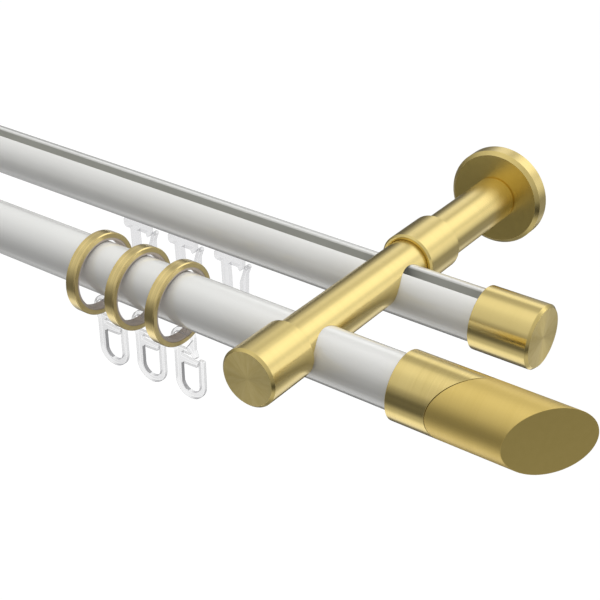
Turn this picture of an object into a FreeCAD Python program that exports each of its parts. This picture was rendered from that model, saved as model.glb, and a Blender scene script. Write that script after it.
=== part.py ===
"""Double curtain pole: two poles on two wall brackets, rings with hooks in front, gliders in the track behind.

Frame in mm: origin on the wall plane, midway between the brackets, at the height of their arms.
+X runs along the poles, -Y comes out of the wall into the room, +Z is up.
"""
import FreeCAD, Part
import os
import re
import Sketcher

# Sizes: each alias, its value in mm (angles in degrees) or how it follows from others, and what it is.
SIZES = [
    ("bracket_spacing", 890, "between the middles of the two brackets"),
    ("pole_overhang", 55, "from the middle of a bracket to the ends of the poles"),
    ("pole_length", "=bracket_spacing + 2 * pole_overhang", "both poles"),
    ("front_reach", 137.5, "wall to the front pole's axis"),
    ("rear_reach", 85, "wall to the rear pole's axis"),
    ("fit_gap", 0.05, "radial clearance of pieces that slide into each other"),
    ("run_gap", 0.25, "clearance of pieces that move on each other"),
    ("pole_radius", 10, "both poles"),
    ("pole_wall", 1.2, "wall of both poles"),
    ("pole_drop", 4.5, "the poles' axes lie this far under the arms' axes"),
    ("groove_width", 7.6, "open groove along the top of the rear pole"),
    ("groove_depth", 6.4, "from the crown of the rear pole"),
    ("track_width", 10.8, "chamber in which the gliders' heads run"),
    ("track_height", 3.6, "chamber in which the gliders' heads run"),
    ("track_lip", 1.7, "from the foot of the rear pole to the chamber"),
    ("slot_width", 3.6, "slot under the chamber"),
    ("arm_radius", 9, "arms of the bracket"),
    ("arm_edge", 0.5, "chamfer on the arms' ends"),
    ("plate_radius", 17.2, "wall plate"),
    ("plate_thickness", 3, "wall plate"),
    ("screw_spacing", 22, "between the two screw holes of a wall plate"),
    ("screw_hole_radius", 2.25, "clearance hole for a 4 mm wood screw"),
    ("screw_head_radius", 4.2, "countersink of the screw holes"),
    ("spigot_radius", 6, "spigot of the wall plate that carries the arm"),
    ("spigot_length", 18, "from the front of the wall plate"),
    ("rosette_radius", 20, "cover rosette"),
    ("rosette_depth", 6.75, "wall to the rosette's face"),
    ("rosette_bevel", 2.35, "depth of the bevel round the face"),
    ("rosette_inset", 1.55, "radial width of the bevel round the face"),
    ("sleeve_wall", 2, "coupling sleeve between the two arms"),
    ("sleeve_radius", "=arm_radius + sleeve_wall", "coupling sleeve between the two arms"),
    ("sleeve_length", 20, "coupling sleeve between the two arms"),
    ("sleeve_gap", 1, "bare arm between the rear pole and the sleeve"),
    ("sleeve_edge", 0.8, "chamfer on the sleeve's front"),
    ("head_wall", 1.78, "head cap on the front arm"),
    ("head_radius", "=arm_radius + head_wall", "head cap on the front arm"),
    ("head_length", 22.2, "head cap on the front arm"),
    ("head_gap", 0.7, "front pole to the head cap"),
    ("head_face", 3.4, "closed front of the head cap"),
    ("head_edge", 0.8, "chamfer on the head cap's front"),
    ("stud_radius", 3, "stud that clamps the front pole, M6"),
    ("stud_tip", 1, "chamfer on the stud's end"),
    ("clamp_length", 8, "grub screw that clamps the rear pole"),
    ("grub_radius", 2, "lock screws of the arms, M4"),
    ("grub_length", 4, "lock screws of the arms"),
    ("grub_sink", 0.1, "lock screws lie this far under the surface"),
    ("spigot_neck", "=spigot_radius - arm_radius + grub_sink + grub_length + fit_gap",
     "depth of the groove that the lock screw grips"),
    ("socket_share", 0.58, "hexagon socket across corners, over the screw's diameter"),
    ("socket_depth", 2, "hexagon sockets of the grub screws"),
    ("cap_wall", 2, "end cap of the rear pole"),
    ("cap_radius", "=pole_radius + cap_wall", "end cap of the rear pole"),
    ("cap_cover", 15.6, "length of pole inside the end cap"),
    ("cap_end", 7.7, "closed end of the end cap"),
    ("cap_edge", 1, "chamfer round the end cap's face"),
    ("finial_wall", 2.45, "finial of the front pole"),
    ("finial_radius", "=pole_radius + finial_wall", "finial of the front pole"),
    ("finial_cover", 15.7, "length of pole inside the finial"),
    ("finial_seam", 9.6, "pole's end to the seam, on the axis"),
    ("finial_reach", 36.9, "pole's end to the slanted face, on the axis"),
    ("finial_angle", 40, "slant of the seam and of the face"),
    ("finial_edge", 0.3, "chamfer on the finial's inner rim"),
    ("dowel_radius", 6, "dowel that joins the finial's two pieces"),
    ("ring_wall", 1.96, "metal of the rings"),
    ("ring_width", 4.6, "curtain rings"),
    ("ring_edge", 0.35, "chamfers on the rings' rims"),
    ("liner_wall", 1.1, "plastic liner in each ring"),
    ("liner_inset", 0.15, "the liner lies this far inside the ring's faces"),
    ("ring_play", 3.3, "radial play of the liner on the pole"),
    ("ring_radius", "=pole_radius + ring_play + liner_wall + ring_wall", "curtain rings"),
    ("ring_place", 57.85, "right bracket to the nearest ring"),
    ("ring_pitch", 19.52, "between rings, pushed together"),
    ("hook_thickness", 2.6, "moulded hooks of the rings"),
    ("eye_drop", 14.95, "ring's axis to the middle of the hook's eye"),
    ("eye_radius", 3, "eye round the ring's section"),
    ("eye_side", 0.9, "eye's wall on the left"),
    ("eye_crown", 2.85, "eye's wall on top"),
    ("barb_right", 7.6, "eye's middle to the outside of the barb"),
    ("barb_drop", 6.1, "eye's middle down to the barb's tip"),
    ("tongue_thickness", 1.8, "upper tongue, which closes the eye"),
    ("gate_drop", 6.7, "eye's middle down to the gate tongue"),
    ("gate_thickness", 3.2, "gate tongue at its root"),
    ("gate_taper", 0.4, "the gate tongue is this much thinner on each side at its tip"),
    ("snap_gap", 0.5, "gaps that the tongues leave"),
    ("leg_inside", 0.95, "eye's middle to the inside of the left leg"),
    ("leg_width", 3.25, "left leg of the hook"),
    ("bow_width", 8.35, "between the two legs of the hook"),
    ("rail_width", 2.4, "right leg of the hook"),
    ("rail_drop", 6, "eye's middle down to the top of the right leg"),
    ("hook_foot", 27.3, "eye's middle to the foot of the hook, before its rounding"),
    ("bow_floor", 4.5, "moulding under the bow"),
    ("glider_thickness", 2.6, "moulded gliders of the rear pole"),
    ("glider_head_width", 9.6, "head of the gliders across the track"),
    ("glider_head_length", 11, "head of the gliders along the track"),
    ("glider_head_height", 2, "head of the gliders"),
    ("glider_neck", 5, "neck of the gliders in the slot"),
    ("bar_left", 6.9, "gliders' neck to the left end of the bar"),
    ("bar_right", 7.5, "gliders' neck to the right end of the bar"),
    ("bar_gap", 1.1, "rear pole to the gliders' bar"),
    ("bar_height", 4.5, "bar of the gliders"),
    ("bar_latch", 2, "latch under the bar's right end"),
    ("glider_leg", 3.6, "left leg of the gliders' hook"),
    ("glider_bow", 5.1, "between the legs of the gliders' hook"),
    ("glider_spring", 2.6, "springy right leg of the gliders' hook"),
    ("glider_drop", 22.4, "under the bar to the foot of the gliders' hook"),
    ("glider_floor", 3.6, "moulding under the bow of the gliders' hook"),
    ("eyelet_radius", 0.6, "eyelet at the top of the springy leg"),
    ("glider_place", 76.8, "right bracket to the nearest glider"),
    ("glider_pitch", 24.8, "between gliders"),
]
NAMES = {alias for alias, value, note in SIZES}
BRACKETS = (("left", -0.5), ("right", 0.5))
RINGS = 3
GLIDERS = 3

doc = FreeCAD.newDocument("double_curtain_pole")
sheet = doc.addObject("Spreadsheet::Sheet", "Sizes")
for row, (alias, value, note) in enumerate(SIZES, 1):
    sheet.set("A%d" % row, alias)
    sheet.set("B%d" % row, str(value))
    sheet.set("C%d" % row, note)
    sheet.setAlias("B%d" % row, alias)
doc.recompute()


def bound(text):
    """The text as an expression on the sheet: each size's name gets the sheet's."""
    return re.sub(r"[a-z_]+", lambda word: "Sizes." + word[0] if word[0] in NAMES else word[0], str(text))


def number(text):
    """What the expression gives now."""
    result = sheet.evalExpression(bound(text))
    return float(getattr(result, "Value", result))


def piece(name, x="0", y="0", z="0", turn=None):
    """An empty body with its label, placed by expressions; turn is an axis to turn it half round."""
    body = doc.addObject("PartDesign::Body", name)
    body.Label = name
    if turn:
        body.Placement.Rotation = FreeCAD.Rotation(turn, 180)
    for axis, text in (("x", x), ("y", y), ("z", z)):
        body.setExpression("Placement.Base." + axis, bound(text))
    return body


def sketch_on(body, name, role, offset=None):
    """A sketch on one of the body's origin planes; offset lifts it off the plane."""
    sketch = body.newObject("Sketcher::SketchObject", name)
    plane = [item for item in body.Origin.OriginFeatures if item.Role == role][0]
    sketch.AttachmentSupport = (plane, [""])
    sketch.MapMode = "FlatFace"
    if offset is not None:
        sketch.setExpression("AttachmentOffset.Base.z", bound(offset))
    return sketch


def bind(sketch, constraints):
    """Add constraints together; those given with an expression are bound to the sheet."""
    first = sketch.addConstraint([constraint for constraint, text in constraints])[0]
    for index, (constraint, text) in enumerate(constraints, first):
        if text is not None:
            name = "size_%d" % index
            sketch.renameConstraint(index, name)
            sketch.setExpression("Constraints." + name, bound(text))


def fixed_point(geometry, position, x, y):
    """Constraints that hold a point of the sketch at two expressions."""
    return [(Sketcher.Constraint("DistanceX", -1, 1, geometry, position, number(x)), x),
            (Sketcher.Constraint("DistanceY", -1, 1, geometry, position, number(y)), y)]


def outline(sketch, corners):
    """Closed outline of straight lines through the corners (x, y), given as expressions."""
    places = [FreeCAD.Vector(number(corner[0]), number(corner[1]), 0) for corner in corners]
    rules = []
    for k, corner in enumerate(corners):
        sketch.addGeometry(Part.LineSegment(places[k], places[(k + 1) % len(places)]), False)
        rules.append((Sketcher.Constraint("Coincident", k, 2, (k + 1) % len(places), 1), None))
    for k, corner in enumerate(corners):
        rules += fixed_point(k, 1, corner[0], corner[1])
    bind(sketch, rules)


def edge_at(shape, x, z):
    """Name of the edge along Y that stands at x and z."""
    for index, edge in enumerate(shape.Edges, 1):
        ends = [vertex.Point for vertex in edge.Vertexes]
        if len(ends) == 2 and all(abs(end.x - x) + abs(end.z - z) < 1e-4 for end in ends):
            return "Edge%d" % index
    raise RuntimeError("no edge at %.3f %.3f" % (x, z))


def round_corners(body, corners):
    """Round the upright edges of a flat moulding at the corners (x, z, radius)."""
    groups = {}
    for corner in corners:
        if len(corner) > 2:
            groups.setdefault(corner[2], []).append(corner)
    for count, (radius, members) in enumerate(groups.items(), 1):
        base = body.Tip
        fillet = body.newObject("PartDesign::Fillet", "rounding_%d" % count)
        fillet.Base = (base, [edge_at(base.Shape, number(x), number(z)) for x, z, size in members])
        fillet.setExpression("Radius", bound(radius))
        doc.recompute()


def circle(sketch, x, y, radius):
    """A circle with centre and radius as expressions."""
    centre = FreeCAD.Vector(number(x), number(y), 0)
    index = sketch.addGeometry(Part.Circle(centre, FreeCAD.Vector(0, 0, 1), number(radius)), False)
    bind(sketch, fixed_point(index, 3, x, y) + [(Sketcher.Constraint("Radius", index, number(radius)), radius)])


def solid_volume(body):
    """Volume of the body after a recompute."""
    doc.recompute()
    return body.Shape.Volume if not body.Shape.isNull() else 0


def cut_checked(body, feature, before):
    """Raise where a cut took nothing away."""
    if solid_volume(body) > before - 1e-6:
        raise RuntimeError(body.Label + ": " + feature.Name + " cuts nothing")
    return feature


def turned(body, name, corners, axis):
    """Solid of revolution of an outline on XY about the sketch's H_Axis (X) or V_Axis (Y)."""
    sketch = sketch_on(body, name + "_profile", "XY_Plane")
    outline(sketch, corners)
    feature = body.newObject("PartDesign::Revolution", name)
    feature.Profile = sketch
    feature.ReferenceAxis = (sketch, [axis])
    feature.Angle = 360
    doc.recompute()
    return feature


def pad(body, sketch, name, length, symmetric=False):
    """Pad of a sketch along its normal, or to both sides of it."""
    feature = body.newObject("PartDesign::Pad", name)
    feature.Profile = sketch
    feature.SideType = "Symmetric" if symmetric else "One side"
    feature.setExpression("Length", bound(length))
    doc.recompute()
    return feature


def pocket(body, sketch, name, length=None, symmetric=False, backwards=False):
    """Pocket of a sketch, through all where no length is given."""
    before = solid_volume(body)
    feature = body.newObject("PartDesign::Pocket", name)
    feature.Profile = sketch
    feature.SideType = "Symmetric" if symmetric else "One side"
    feature.Reversed = backwards
    if length is None:
        feature.Type = "ThroughAll"
    else:
        feature.setExpression("Length", bound(length))
    return cut_checked(body, feature, before)


def hexagon(sketch, x, y, radius):
    """A hexagon with a corner on the sketch's horizontal axis."""
    corners = []
    for k in range(6):
        corners.append(("%s + %s * cos(%d deg)" % (x, radius, 60 * k), "%s + %s * sin(%d deg)" % (y, radius, 60 * k)))
    outline(sketch, corners)


def bracket_x(side):
    """The bracket's place along the poles."""
    return "%s * bracket_spacing" % side


def wall_plate(side, place):
    """Disc with two countersunk screw holes and the spigot that carries the arm."""
    body = piece("wall_plate_" + side, bracket_x(place))
    front = "-plate_thickness"
    neck_middle = "(%s)" % lock_place()
    turned(body, "disc_and_spigot", [
        ("0", "0"), ("plate_radius", "0"), ("plate_radius", front), ("spigot_radius", front),
        ("spigot_radius", neck_middle + " + grub_radius + spigot_neck"),
        ("spigot_radius - spigot_neck", neck_middle + " + grub_radius"),
        ("spigot_radius - spigot_neck", neck_middle + " - grub_radius"),
        ("spigot_radius", neck_middle + " - grub_radius - spigot_neck"),
        ("spigot_radius", "-plate_thickness - spigot_length"), ("0", "-plate_thickness - spigot_length")], "V_Axis")
    for name, up in (("upper", "screw_spacing / 2"), ("lower", "-screw_spacing / 2")):
        sink = sketch_on(body, name + "_countersink_profile", "YZ_Plane")
        outline(sink, [
            ("0", up), ("0", up + " + screw_hole_radius"),
            ("-plate_thickness + screw_head_radius - screw_hole_radius", up + " + screw_hole_radius"),
            ("-plate_thickness", up + " + screw_head_radius"), ("-plate_thickness", up)])
        before = solid_volume(body)
        groove = body.newObject("PartDesign::Groove", name + "_screw_hole")
        groove.Profile = sink
        groove.ReferenceAxis = (sink, ["Edge5"])
        groove.Angle = 360
        cut_checked(body, groove, before)
    return body


def rosette_recess():
    """Radius of the recess that hides the wall plate."""
    return "plate_radius + 4 * fit_gap"


def rosette(side, place):
    """Turned cover with a bevelled face, hollow over the wall plate and bored for the spigot."""
    body = piece("wall_rosette_" + side, bracket_x(place))
    turned(body, "cover", [
        ("spigot_radius + fit_gap", "-plate_thickness"), (rosette_recess(), "-plate_thickness"),
        (rosette_recess(), "0"), ("rosette_radius", "0"), ("rosette_radius", "rosette_bevel - rosette_depth"),
        ("rosette_radius - rosette_inset", "-rosette_depth"), ("spigot_radius + fit_gap", "-rosette_depth")], "V_Axis")
    return body


def lock_place():
    """Y of the lock screw that holds the rear arm on its spigot."""
    return "-rosette_depth - 7"


def sleeve_back_y():
    """Y of the sleeve's end on the wall side."""
    return "-rear_reach + pole_radius + sleeve_gap + sleeve_length"


def sleeve_front_y():
    """Y of the sleeve's end on the room side."""
    return "-rear_reach + pole_radius + sleeve_gap"


def joint_y():
    """Y where the two arms meet inside the sleeve."""
    return "-rear_reach + pole_radius + sleeve_gap + sleeve_length / 2"


def dimple(body, name, y, surface):
    """Flat-bottomed dimple under an arm, for the tip of a lock screw."""
    sketch = sketch_on(body, name + "_circle", "XY_Plane", "-%s" % surface)
    circle(sketch, "0", y, "grub_radius + fit_gap")
    return pocket(body, sketch, name, lock_depth() + " - (sleeve_radius - arm_radius) + fit_gap", backwards=True)


def lock_depth():
    """Depth of a lock screw's tip under the sleeve's surface."""
    return "grub_length + grub_sink"


def lower_hole(body, name, y, surface):
    """Tapped hole from below up to the piece's axis."""
    sketch = sketch_on(body, name + "_circle", "XY_Plane", "-%s" % surface)
    circle(sketch, "0", y, "grub_radius + fit_gap")
    return pocket(body, sketch, name, surface, backwards=True)


def rear_arm(side, place):
    """Round arm from the rosette to the sleeve, bored for the wall plate's spigot."""
    body = piece("rear_arm_" + side, bracket_x(place))
    bore = "spigot_radius + fit_gap"
    bore_end = "-plate_thickness - spigot_length - arm_edge"
    tip = joint_y() + " + fit_gap"
    turned(body, "bar", [
        (bore, "-rosette_depth"), ("arm_radius - arm_edge", "-rosette_depth"),
        ("arm_radius", "-rosette_depth - arm_edge"), ("arm_radius", tip + " + arm_edge"),
        ("arm_radius - arm_edge", tip), ("0", tip), ("0", bore_end), (bore, bore_end)], "V_Axis")
    lower_hole(body, "lock_hole", lock_place(), "arm_radius")
    dimple(body, "sleeve_dimple", joint_y() + " + sleeve_length / 4", "arm_radius")
    return body


def coupling_sleeve(side, place):
    """Turned sleeve over the ends of both arms, with two tapped holes from below."""
    body = piece("coupling_sleeve_" + side, bracket_x(place))
    bore = "arm_radius + fit_gap"
    turned(body, "tube", [
        (bore, sleeve_front_y()), ("sleeve_radius - sleeve_edge", sleeve_front_y()),
        ("sleeve_radius", sleeve_front_y() + " + sleeve_edge"), ("sleeve_radius", sleeve_back_y()),
        (bore, sleeve_back_y())], "V_Axis")
    for name, along in (("front", "-sleeve_length / 4"), ("rear", "sleeve_length / 4")):
        lower_hole(body, name + "_lock_hole", joint_y() + " + (%s)" % along, "sleeve_radius")
    return body


def arm_tip_y():
    """Y of the front arm's end inside the head cap."""
    return "-front_reach - pole_radius - head_gap - head_length + head_face + fit_gap"


def front_arm(side, place):
    """Round bar with an open seat for each pole, from which the pole can't drop, tapped from both ends."""
    body = piece("front_arm_" + side, bracket_x(place))
    tail = joint_y() + " - fit_gap"
    turned(body, "bar", [
        ("0", tail), ("arm_radius - arm_edge", tail), ("arm_radius", tail + " - arm_edge"),
        ("arm_radius", arm_tip_y() + " + arm_edge"), ("arm_radius - arm_edge", arm_tip_y()),
        ("0", arm_tip_y())], "V_Axis")
    for name, reach in (("front", "front_reach"), ("rear", "rear_reach")):
        seat = sketch_on(body, name + "_seat_circle", "YZ_Plane")
        circle(seat, "-" + reach, "-pole_drop", "pole_radius + fit_gap")
        pocket(body, seat, name + "_seat", "2 * arm_radius + 2", symmetric=True)
    for name, end, target, backwards in (("stud", arm_tip_y(), "-front_reach", False),
                                         ("clamp", tail, "-rear_reach", True)):
        hole = sketch_on(body, name + "_hole_circle", "XZ_Plane", "-(%s)" % end)
        circle(hole, "0", "0", "stud_radius + fit_gap")
        depth = "abs(%s - (%s))" % (end, target)
        pocket(body, hole, name + "_hole", depth, backwards=backwards)
    dimple(body, "sleeve_dimple", joint_y() + " - sleeve_length / 4", "arm_radius")
    return body


def arm_head(side, place):
    """Turned cap on the arm's end: its stud runs through the arm and clamps the front pole."""
    body = piece("arm_head_" + side, bracket_x(place))
    rim = "(-front_reach - pole_radius - head_gap)"
    face = rim + " - head_length"
    floor = face + " + head_face"
    bore = "arm_radius + fit_gap"
    tip = "-front_reach - pole_radius"
    turned(body, "cap_and_stud", [
        ("0", face), ("head_radius - head_edge", face), ("head_radius", face + " + head_edge"),
        ("head_radius", rim), (bore, rim), (bore, floor), ("stud_radius", floor),
        ("stud_radius", tip + " - stud_tip"), ("stud_radius - stud_tip", tip), ("0", tip)], "V_Axis")
    return body


def grub(body, length, radius):
    """Grub screw along +Z from the body's origin, its hexagon socket at the origin's end."""
    sketch = sketch_on(body, "shank_circle", "XY_Plane")
    circle(sketch, "0", "0", radius)
    pad(body, sketch, "shank", length)
    socket = sketch_on(body, "socket_hexagon", "XY_Plane")
    hexagon(socket, "0", "0", radius + " * socket_share")
    pocket(body, socket, "socket", "socket_depth", backwards=True)


def clamp_screw(side, place):
    """Grub screw in the front arm's tail that clamps the rear pole."""
    body = piece("pole_clamp_screw_" + side, bracket_x(place), "-rear_reach + pole_radius + clamp_length")
    body.Placement.Rotation = FreeCAD.Rotation(FreeCAD.Vector(1, 0, 0), 90)
    grub(body, "clamp_length", "stud_radius")
    return body


def lock_screws(side, place):
    """The bracket's three lock screws, which sit under the arm and the sleeve."""
    screws = []
    for name, y, surface in (("spigot", lock_place(), "arm_radius"),
                             ("sleeve_rear", joint_y() + " + sleeve_length / 4", "sleeve_radius"),
                             ("sleeve_front", joint_y() + " - sleeve_length / 4", "sleeve_radius")):
        body = piece(name + "_lock_screw_" + side, bracket_x(place), y, "grub_sink - %s" % surface)
        grub(body, "grub_length", "grub_radius")
        screws.append(body)
    group = doc.addObject("Part::Compound", "lock_screws_" + side)
    group.Label = "lock_screws_" + side
    group.Links = screws
    return group


def front_pole():
    """Plain round tube."""
    body = piece("front_pole", "0", "-front_reach", "-pole_drop")
    half = "pole_length / 2"
    inside = "pole_radius - pole_wall"
    turned(body, "tube", [("-" + half, inside), (half, inside), (half, "pole_radius"), ("-" + half, "pole_radius")],
           "H_Axis")
    return body


def rear_pole():
    """Round extrusion: a groove along its top, a slotted glider track along its foot, a hollow between."""
    body = piece("rear_pole", "0", "-rear_reach", "-pole_drop")
    section = sketch_on(body, "section", "YZ_Plane")
    circle(section, "0", "0", "pole_radius")
    pad(body, section, "extrusion", "pole_length", symmetric=True)
    groove_floor = "pole_radius - groove_depth"
    track_floor = "track_lip - pole_radius"
    track_top = "(track_lip + track_height - pole_radius)"
    above = "pole_radius + 1"
    cuts = [
        ("top_groove", [("-groove_width / 2", groove_floor), ("groove_width / 2", groove_floor),
                        ("groove_width / 2", above), ("-groove_width / 2", above)]),
        ("track", [("-slot_width / 2", "-(%s)" % above), ("slot_width / 2", "-(%s)" % above),
                   ("slot_width / 2", track_floor), ("track_width / 2", track_floor),
                   ("track_width / 2", track_top), ("-track_width / 2", track_top),
                   ("-track_width / 2", track_floor), ("-slot_width / 2", track_floor)])]
    for name, corners in cuts:
        profile = sketch_on(body, name + "_profile", "YZ_Plane")
        outline(profile, corners)
        pocket(body, profile, name, "pole_length + 2", symmetric=True)
    hollow_low = track_top + " + pole_wall"
    hollow_high = "(%s - pole_wall)" % groove_floor
    inside = "(pole_radius - pole_wall)"
    low_half = "sqrt(%s ^ 2 - (%s) ^ 2) - 0.2 * pole_wall" % (inside, hollow_low)
    high_half = "groove_width / 2 + pole_wall"
    shoulder = "sqrt(%s ^ 2 - (%s) ^ 2) - pole_wall" % (inside, high_half)
    side_half = "%s * cos(20 deg)" % inside
    side_high = "%s * sin(20 deg)" % inside
    hollow = sketch_on(body, "hollow_profile", "YZ_Plane")
    outline(hollow, [
        ("-(%s)" % low_half, hollow_low), (low_half, hollow_low), (side_half, side_high),
        (high_half, shoulder), (high_half, hollow_high), ("-(%s)" % high_half, hollow_high),
        ("-(%s)" % high_half, shoulder), ("-(%s)" % side_half, side_high)])
    pocket(body, hollow, "hollow", "pole_length + 2", symmetric=True)
    return body


def turned_end(name, side, place, reach):
    """Empty body at a pole's end; the left one is turned half round, so +X points away from the poles."""
    half = FreeCAD.Vector(0, 1, 0) if side == "left" else None
    return piece(name + "_" + side, "2 * %s * pole_length / 2" % place, "-" + reach, "-pole_drop", turn=half)


def end_cap(side, place):
    """Turned cap over the rear pole's end."""
    body = turned_end("rear_end_cap", side, place, "rear_reach")
    bore = "pole_radius + fit_gap"
    turned(body, "cap", [
        ("fit_gap", "0"), ("fit_gap", bore), ("-cap_cover", bore), ("-cap_cover", "cap_radius"),
        ("cap_end - cap_edge", "cap_radius"), ("cap_end", "cap_radius - cap_edge"), ("cap_end", "0")], "H_Axis")
    return body


def slanted_cut(body, name, start):
    """Cut off what lies outside a plane slanted about the vertical, which meets the axis at start."""
    slope = "tan(finial_angle * 1 deg)"
    wide = "(finial_radius + 2)"
    far = "(finial_reach + 3 * finial_radius)"
    sketch = sketch_on(body, name + "_profile", "XY_Plane")
    outline(sketch, [("%s - %s * %s" % (start, wide, slope), "-" + wide), (far, "-" + wide), (far, wide),
                     ("%s + %s * %s" % (start, wide, slope), wide)])
    return pocket(body, sketch, name, "3 * finial_radius", symmetric=True)


def finial_sleeve(side, place):
    """Sleeve of the finial over the front pole's end, with its far end cut at a slant."""
    body = turned_end("finial_sleeve", side, place, "front_reach")
    bore = "pole_radius + fit_gap"
    inner = "dowel_radius + fit_gap"
    far = "finial_seam + 2 * finial_radius"
    turned(body, "tube", [
        ("-finial_cover", bore), ("fit_gap", bore), ("fit_gap", inner), (far, inner), (far, "finial_radius"),
        ("finial_edge - finial_cover", "finial_radius"), ("-finial_cover", "finial_radius - finial_edge")], "H_Axis")
    slanted_cut(body, "seam_cut", "finial_seam")
    return body


def finial_tip(side, place):
    """Solid tip of the finial between two slanted faces, with a dowel into the sleeve."""
    body = turned_end("finial_tip", side, place, "front_reach")
    far = "finial_reach + 2 * finial_radius"
    near = "finial_seam - 2 * finial_radius"
    turned(body, "bar", [(near, "0"), (far, "0"), (far, "finial_radius"), (near, "finial_radius")], "H_Axis")
    slanted_cut(body, "face_cut", "finial_reach")
    slope = "tan(finial_angle * 1 deg)"
    wide = "(finial_radius + 2)"
    before_seam = sketch_on(body, "seam_cut_profile", "XY_Plane")
    outline(before_seam, [("finial_seam - %s * %s" % (wide, slope), "-" + wide),
                          ("finial_seam + %s * %s" % (wide, slope), wide),
                          (near + " - 1", wide), (near + " - 1", "-" + wide)])
    pocket(body, before_seam, "seam_cut", "3 * finial_radius", symmetric=True)
    start = "2 * fit_gap"
    dowel = sketch_on(body, "dowel_circle", "YZ_Plane", start)
    circle(dowel, "0", "0", "dowel_radius")
    pad(body, dowel, "dowel", "finial_reach - %s - finial_radius" % start)
    return body


def ring_drop():
    """The rings hang on the front pole: their axis lies this far under the pole's."""
    return "(ring_radius - ring_wall - liner_wall - pole_radius - run_gap)"


def ring_x(index):
    """Place of a ring along the pole, counted from the left."""
    return "bracket_spacing / 2 - ring_place - %d * ring_pitch" % (RINGS - index)


def ring(index):
    """Turned metal curtain ring with broken edges."""
    body = piece("curtain_ring_%d" % index, ring_x(index), "-front_reach", "-pole_drop - %s" % ring_drop())
    outer, inner, half = "ring_radius", "(ring_radius - ring_wall)", "ring_width / 2"
    turned(body, "band", [
        ("-" + half, inner), (half, inner), (half, outer + " - ring_edge"), (half + " - ring_edge", outer),
        ("ring_edge - " + half, outer), ("-" + half, outer + " - ring_edge")], "H_Axis")
    return body


def ring_liner(index):
    """Plastic liner in the ring, which runs on the pole."""
    body = piece("ring_liner_%d" % index, ring_x(index), "-front_reach", "-pole_drop - %s" % ring_drop())
    outer = "ring_radius - ring_wall - fit_gap"
    inner = "(ring_radius - ring_wall - liner_wall)"
    half = "(ring_width / 2 - liner_inset)"
    turned(body, "band", [
        ("ring_edge - " + half, inner), (half + " - ring_edge", inner), (half, inner + " + ring_edge"),
        (half, outer), ("-" + half, outer), ("-" + half, inner + " + ring_edge")], "H_Axis")
    return body


def ring_hook(index):
    """Clear moulded hook: an eye that snaps round the ring and a bow closed by a springy gate tongue."""
    body = piece("ring_hook_%d" % index, ring_x(index), "-front_reach",
                 "-pole_drop - %s - eye_drop" % ring_drop())
    left, crown, under = "-eye_radius - eye_side", "eye_radius + eye_crown", "-(eye_radius + run_gap)"
    inside, outside = "leg_inside", "leg_inside - leg_width"
    bow_right = "leg_inside + bow_width"
    rail = bow_right + " + rail_width"
    barb_foot = "0.45 * barb_right"
    barb_side = "-0.42 * barb_drop"
    tongue_foot = under + " - tongue_thickness"
    gate_end = "-gate_drop - gate_thickness"
    profile = sketch_on(body, "profile", "XZ_Plane")
    corners = [
        (left, crown, "1.06 * (eye_radius + eye_crown)"), ("barb_right", crown, "eye_radius"),
        ("barb_right", barb_side, "eye_radius / 2"), ("1.15 * barb_right", "-0.87 * barb_drop", "snap_gap"),
        ("0.93 * barb_right", "-barb_drop", "0.7 * snap_gap"), (barb_foot, barb_side, "0.6 * snap_gap"),
        ("0.8 * barb_right", "0.4 * eye_radius", "0.3 * eye_radius"),
        ("0.75 * barb_right", "eye_radius", "0.3 * eye_radius"),
        ("-eye_radius", "eye_radius", "0.95 * eye_radius"), ("-eye_radius", under, "0.7 * eye_radius"),
        (barb_foot, under), (barb_foot + " + tongue_thickness", tongue_foot, "0.6 * snap_gap"),
        (inside, tongue_foot), (inside, "-gate_drop"),
        (bow_right + " - snap_gap", "-gate_drop - gate_taper - snap_gap", "0.2 * gate_thickness"),
        (bow_right + " - 2 * snap_gap", gate_end + " + gate_taper", "0.15 * gate_thickness"),
        (inside, gate_end), (inside, "-0.6 * hook_foot", "2 * leg_width"),
        (inside + " + 0.75 * bow_width", "bow_floor - hook_foot", "0.18 * bow_width"),
        (bow_right, "1.4 * bow_floor - hook_foot", "0.12 * bow_width"),
        (bow_right, "-rail_drop", "0.49 * rail_width"), (rail, "-rail_drop", "0.49 * rail_width"),
        (rail, "rail_width * 2 - hook_foot", "rail_width"),
        (inside + " + 0.48 * bow_width", "-hook_foot", "rail_width"),
        (outside + " + 0.35 * leg_width", "-0.73 * hook_foot", "2.5 * leg_width"),
        (outside, "-1.85 * eye_radius", "eye_radius"), (left, "-0.7 * eye_radius", "eye_radius / 2")]
    outline(profile, corners)
    pad(body, profile, "moulding", "hook_thickness", symmetric=True)
    round_corners(body, corners)
    return body


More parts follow.
